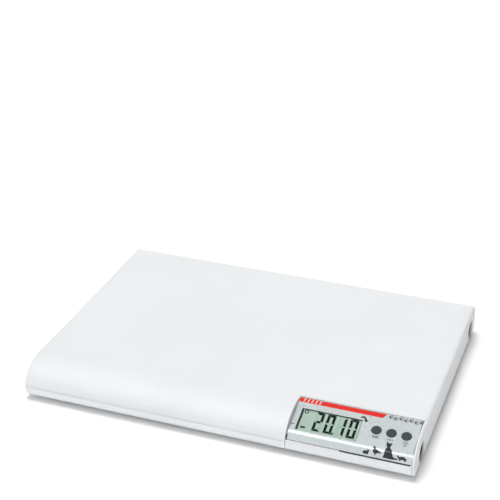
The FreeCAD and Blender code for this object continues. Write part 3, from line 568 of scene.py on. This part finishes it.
def paw(x, s, size, turn):
    """A plain paw print, size mm across: one pad and four toes."""
    toes = [oval(tx, ty, *TOE_RADII, lean) for tx, ty, lean in PAW_TOES]
    made = []
    for outline in [smooth(PAW_PAD), *toes]:
        turned = [Matrix.Rotation(turn, 2) @ p for p in outline]
        made.append(placed(turned, x, s, size))
    return made


def paw_trail(material):
    """A row of paw prints that walk to the right, a little left and right in turn."""
    x, s = PAW_FIRST
    steps = []
    for i in range(PAWS):
        aside = PAW_ASIDE if i % 2 else -PAW_ASIDE
        steps += paw(x + PAW_PITCH * i, s + aside, PAW_SIZE, PAW_HEADING)
    print_on_panel("paw_trail", steps, material, INK_LOW, INK_HIGH)


def hold_sign(x, s):
    """Two bars, one above the other."""
    return [block(x - 3.8, x + 3.8, top, top + 1.2) for top in (s - 1.6, s + 0.4)]


def zero_sign(x, s):
    """A small ring between two triangles that point at it."""
    arrows = [polygon((x + side * 3.6, s - 1.3), (x + side * 1.9, s), (x + side * 3.6, s + 1.3))
              for side in (-1, 1)]
    return band(x, s, 1.25, 0.7) + arrows


def power_sign(x, s):
    """An open ring with a bar through its gap, over a short line."""
    return [*band(x, s, 2.1, 0.8, -60, 300), block(x - 0.4, x + 0.4, s - 2.8, s + 0.2),
            block(x - 1.8, x + 2.0, s + 3.6, s + 4.7)]


def key_symbols(material):
    """Plain signs under the push buttons: hold, set to zero, and on/off."""
    signs = hold_sign(*HOLD_SIGN) + zero_sign(*ZERO_SIGN) + power_sign(*POWER_SIGN)
    print_on_panel("key_symbols", signs, material, INK_LOW, INK_HIGH)


def window_sign(material):
    """A small curved arrow beside the window's upper right corner, and a dash beside its left edge."""
    arrow = [placed(outline, *ARROW) for outline in (smooth(ARROW_TAIL), polygon(*ARROW_HEAD))]
    print_on_panel("window_sign", [*arrow, block(*DASH)], material, INK_LOW, INK_HIGH)


def animal_signs(material):
    """Four plain silhouettes of small animals along the panel's rounded front edge."""
    signs = [placed(smooth(outline, steps), x, s) for outline, steps, x, s in ANIMALS]
    print_on_panel("animal_signs", signs, material, INK_LOW, INK_HIGH)


# ------------------------------------------------------------------ black strips of painted shade in joints and pockets, in mm
SEAM_X, SEAM_STEP = (160, 244), 4        # ends of the black strip of painted shade in the joint under the panel, and its facets
SEAM_Z = (20.04, 20.52)
SEAM_FACE = (-179.6, -179.75, -179.5)    # Y of its rounded face: low, middle and high
SEAM_BACK = -176.6
CORNER_SHADE = (94.45, 95.9, 54.4, 60.0, 0.0, 0.2)         # both are blocks on the panel, black prints of painted shade in the gaps
RIGHT_EDGE_SHADE = (244.5, 245.3, -2.2, 46.5)
CORNER_SHADE_HIGH = 0.15                   # out of the panel's surface
POCKET_Y = {"front": -145.0, "rear": 148.0}
POCKET_Z, POCKET_R = 19.5, 12.95         # round pockets in the end caps
SHADE_SLEEVE = (242.8, 247.8, 0.5, 0.2)        # black sleeve of painted shade in a pocket: inner end, outer end, thickness, chamfer
SHADE_SLEEVE_FACETS = 48


def joint_shade_strip(material):
    """Black strip in the joint under the panel's lip, over its right part: painted shade of the gap."""
    low, high = SEAM_Z
    profile = [*zip(SEAM_FACE, (low, (low + high) / 2, high)), (SEAM_BACK, high), (SEAM_BACK, low)]
    rings = [[Vector((x, y, z)) * MM for y, z in profile]
             for x in range(SEAM_X[0], SEAM_X[1] + 1, SEAM_STEP)]
    add_piece(swept(rings, closed=False), "seam_painted_shade", material)


def gap_shade_prints(material):
    """Painted shade of the gaps at the panel's lower left corner and along its right edge, as thin black
    prints.
    """
    print_on_panel("seam_shade_tab", [block(*CORNER_SHADE)], material, INK_LOW, CORNER_SHADE_HIGH)
    print_on_panel("seam_shade_side", [block(*RIGHT_EDGE_SHADE)], material, INK_LOW, INK_HIGH)


def pocket_shade_sleeve(side, end, material):
    """Black sleeve in one of the end caps' round pockets, set back from its mouth, with a chamfered lip:
    painted shade of the pocket's deep inside.
    """
    inner, outer, thick, chamfer = SHADE_SLEEVE
    r = POCKET_R
    profile = [(inner, r), (outer - chamfer, r), (outer, r - chamfer), (outer, r - thick + chamfer),
               (outer - chamfer, r - thick), (inner, r - thick)]
    rings = []
    for i in range(SHADE_SLEEVE_FACETS):
        turn = math.tau * i / SHADE_SLEEVE_FACETS
        rings.append([Vector((side * x, POCKET_Y[end] + radius * math.sin(turn),
                              POCKET_Z + radius * math.cos(turn))) * MM for x, radius in profile])
    name = f"pocket_shade_sleeve_{end}_{'right' if side > 0 else 'left'}"
    add_piece(swept(rings, closed=True), name, material)


# ------------------------------------------------------------------ display
DIGIT = (10.1, 27.8, 3.3)        # width, height, stroke, in mm
DIGIT_FIRST, DIGIT_PITCH, DIGIT_TOP = 120.8, 13.9, 14.6
SEGMENT_GAP = 0.16
SEGMENT_LOW, SEGMENT_HIGH = -1.69, -1.60     # mm out of the panel's surface: on the LCD, under the window
LIT = {"0": "abcdef", "1": "bc", "2": "abged"}
READING = "2010"                 # the decimal mark makes it 20.10
STABLE_SIGN = (108.3, 17.0, 2.1, 1.1)                    # a ring: x, s, radius, width of its line
DECIMAL_MARK = (145.7, 147.9, 39.7, 43.0, 1.0, 1.6)      # this and the next two are blocks
MINUS_SIGN = (106.9, 112.9, 38.9, 41.3)
# a dark strip along the window's left edge: painted shade of the window's left wall
LEFT_WALL_SHADE = (103.5, 104.5, 14.3, 45.4)


def segment(letter, x, s):
    """One bar of a seven-segment numeral whose upper left corner is at x, s, with mitred ends and a gap."""
    w, h, t = DIGIT
    gap, half = SEGMENT_GAP, h / 2
    if letter == "a":
        return polygon((x + gap, s), (x + w - gap, s), (x + w - gap - t, s + t), (x + gap + t, s + t))
    if letter == "d":
        y = s + h - t
        return polygon((x + gap + t, y), (x + w - gap - t, y), (x + w - gap, y + t), (x + gap, y + t))
    if letter == "g":
        y, m = s + half - t / 2, t / 2
        return polygon((x + gap + m, y + m), (x + gap + t, y), (x + w - gap - t, y), (x + w - gap - m, y + m),
                       (x + w - gap - t, y + t), (x + gap + t, y + t))
    upper = letter in "bf"
    y0, y1 = (s + gap, s + half - gap) if upper else (s + half + gap, s + h - gap)
    inner0, inner1 = (y0 + t, y1 - t / 2) if upper else (y0 + t / 2, y1 - t)
    if letter in "bc":
        return polygon((x + w, y0), (x + w, y1), (x + w - t, inner1), (x + w - t, inner0))
    return polygon((x, y0), (x + t, inner0), (x + t, inner1), (x, y1))


def numerals(reading):
    """The outlines of the lit and of the unlit segments."""
    lit, unlit = [], []
    for place, numeral in enumerate(reading):
        left = DIGIT_FIRST + DIGIT_PITCH * place
        for letter in "abcdefg":
            (lit if letter in LIT[numeral] else unlit).append(segment(letter, left, DIGIT_TOP))
    return lit, unlit


def display():
    """The lit and the unlit segments, the dark marks around them, and painted shade along the window's left
    edge.
    """
    lit, unlit = numerals(READING)
    # the last block is painted shade along the window's left edge, printed with the segments
    lit += [block(*DECIMAL_MARK), *band(*STABLE_SIGN), block(*MINUS_SIGN), block(*LEFT_WALL_SHADE)]
    dark = ink("lcd_ink", (0.005, 0.008, 0.009), 0.5, 0.0, 0.0)
    faint = ink("lcd_ghost", (0.375, 0.50, 0.425), 0.5, 0.0, 0.0)
    print_on_panel("lcd_numerals_and_shade", lit, dark, SEGMENT_LOW, SEGMENT_HIGH)
    print_on_panel("lcd_unlit_segments", unlit, faint, SEGMENT_LOW, SEGMENT_HIGH)


# ------------------------------------------------------------------ studio
def aim(obj, target):
    obj.rotation_euler = (Vector(target) - obj.location).to_track_quat("-Z", "Y").to_euler()


def map_node(nodes, links, source, low, high, start, end):
    """Maps source smoothly to low to high, while it runs from start to end."""
    made = nodes.new("ShaderNodeMapRange")
    made.interpolation_type = "SMOOTHSTEP"
    links.new(source, made.inputs["Value"])
    for socket, value in zip(("From Min", "From Max", "To Min", "To Max"), (start, end, low, high)):
        made.inputs[socket].default_value = value
    return made.outputs["Result"]


# Two values, and the two places that they hold up to, on an axis of the direction that is looked in.
ROOM_HEIGHT = (1.38, 0.45, 0.05, 0.5)    # strength at the horizon and overhead, along Z
ROOM_SIDE = (1.02, 0.42, -0.1, 0.9)      # factor on the left and on the right, along X
ROOM_DEPTH = (1.36, 0.84, -0.9, 0.42)    # factor at the front and at the rear, along Y


def surround():
    """White room, brightest near its horizon, and dimmer on the right and at the rear."""
    world = bpy.data.worlds.new("surround")
    scene.world = world
    world.use_nodes = True
    nodes, links = world.node_tree.nodes, world.node_tree.links
    nodes.clear()
    out, background = nodes.new("ShaderNodeOutputWorld"), nodes.new("ShaderNodeBackground")
    links.new(background.outputs[0], out.inputs["Surface"])
    background.inputs["Color"].default_value = (0.985, 0.993, 1.0, 1)
    direction, split = nodes.new("ShaderNodeTexCoord"), nodes.new("ShaderNodeSeparateXYZ")
    links.new(direction.outputs["Generated"], split.inputs[0])
    strength = map_node(nodes, links, split.outputs["Z"], *ROOM_HEIGHT)
    for axis, ramp in (("X", ROOM_SIDE), ("Y", ROOM_DEPTH)):
        product = nodes.new("ShaderNodeMath")
        product.operation = "MULTIPLY"
        links.new(strength, product.inputs[0])
        links.new(map_node(nodes, links, split.outputs[axis], *ramp), product.inputs[1])
        strength = product.outputs[0]
    links.new(strength, background.inputs["Strength"])


KEY_STRENGTH, KEY_ACROSS = 2.0, 24       # the second in degrees
KEY_PLACE = (-0.3, 0.26, 2.0)            # only its direction from the origin counts
GLOSS_RADIANCE = 5.5
FLOOR_REACH = 6.0                        # from the middle to an edge, in metres


def overhead():
    """Wide soft light from above, a little to the rear left: it gives shadows, and no reflections."""
    light = bpy.data.lights.new("key_overhead", "SUN")
    light.energy, light.angle = KEY_STRENGTH, math.radians(KEY_ACROSS)
    obj = bpy.data.objects.new("key_overhead", light)
    obj.location = KEY_PLACE
    aim(obj, (0, 0, 0))
    obj.visible_glossy = obj.visible_transmission = False
    scene.collection.objects.link(obj)


def gloss_box(name, place, target, width, height):
    """A softbox that shows in reflections, and doesn't light what is matt."""
    light = bpy.data.lights.new(name, "AREA")
    light.shape = "RECTANGLE"
    light.size, light.size_y = width, height
    light.energy = GLOSS_RADIANCE * math.pi * width * height
    obj = bpy.data.objects.new(name, light)
    obj.location = place
    aim(obj, target)
    obj.visible_diffuse = False
    scene.collection.objects.link(obj)


def paper_floor():
    mesh = bpy.data.meshes.new("floor")
    corners = [(x * FLOOR_REACH, y * FLOOR_REACH, 0) for x, y in ((-1, -1), (1, -1), (1, 1), (-1, 1))]
    mesh.from_pydata(corners, [], [(0, 1, 2, 3)])
    floor = bpy.data.objects.new("floor", mesh)
    scene.collection.objects.link(floor)
    look = Look("floor_paper", Specular_IOR_Level=0.1, Emission_Color=(1, 1, 1, 1), Emission_Strength=0.02)
    tone = look.blend(look.spread(look.noise(400, 2), 0, 1), (0.95, 0.95, 0.95), (0.97, 0.97, 0.97))
    look.drive(Base_Color=tone, Roughness=look.spread(look.noise(30, 3), 0.8, 0.9))
    look.relief((look.noise(1.5, 3), 0.02))
    mesh.materials.append(look.material)


def studio():
    """Pale paper floor, a white room, a wide overhead light, and two softboxes seen in the glossy panel."""
    surround()
    overhead()
    gloss_box("gloss_front", place=(-0.34, -0.72, 1.9), target=(0.15, -0.17, 0.03), width=0.68, height=0.4)
    gloss_box("gloss_left", place=(-0.72, -0.53, 1.81), target=(0.12, -0.17, 0.03), width=1.45, height=0.72)
    paper_floor()


LENS, SENSOR, NEAREST = 91.39, 36.0, 0.05    # mm, mm and metres
CAMERA_PLACE = (0.465, -1.347, 0.8958)
CAMERA_TURN = (19.588, 27.074, 0.282)    # degrees to the left, down, and of roll


def camera():
    """A long lens in front of the scale and to its right, looking down on it."""
    data = bpy.data.cameras.new("camera")
    data.lens, data.sensor_width = LENS, SENSOR
    data.clip_start = NEAREST
    obj = bpy.data.objects.new("camera", data)
    scene.collection.objects.link(obj)
    left, down, roll = (math.radians(a) for a in CAMERA_TURN)
    turn = Matrix.Rotation(left, 4, "Z") @ Matrix.Rotation(math.pi / 2 - down, 4, "X")
    obj.matrix_world = Matrix.Translation(CAMERA_PLACE) @ turn @ Matrix.Rotation(roll, 4, "Z")
    scene.camera = obj


# ------------------------------------------------------------------ assembly
camera()
studio()
looks = dress_nodes()
stripe()
# black strips and sleeves that paint the shade of the joints and of the end caps' pockets
joint_shade_strip(looks["black_plastic"])
gap_shade_prints(looks["black_plastic"])
for side in (-1, 1):
    for end in POCKET_Y:
        pocket_shade_sleeve(side, end, looks["foot_rubber"])
grey_ink = ink("ink_grey", (0.10, 0.105, 0.11))
black_ink = ink("ink_black", (0.012, 0.013, 0.013))
paw_trail(grey_ink)
key_symbols(grey_ink)
window_sign(black_ink)
animal_signs(black_ink)
display()

scene.view_settings.view_transform = "Standard"
scene.view_settings.look = "None"
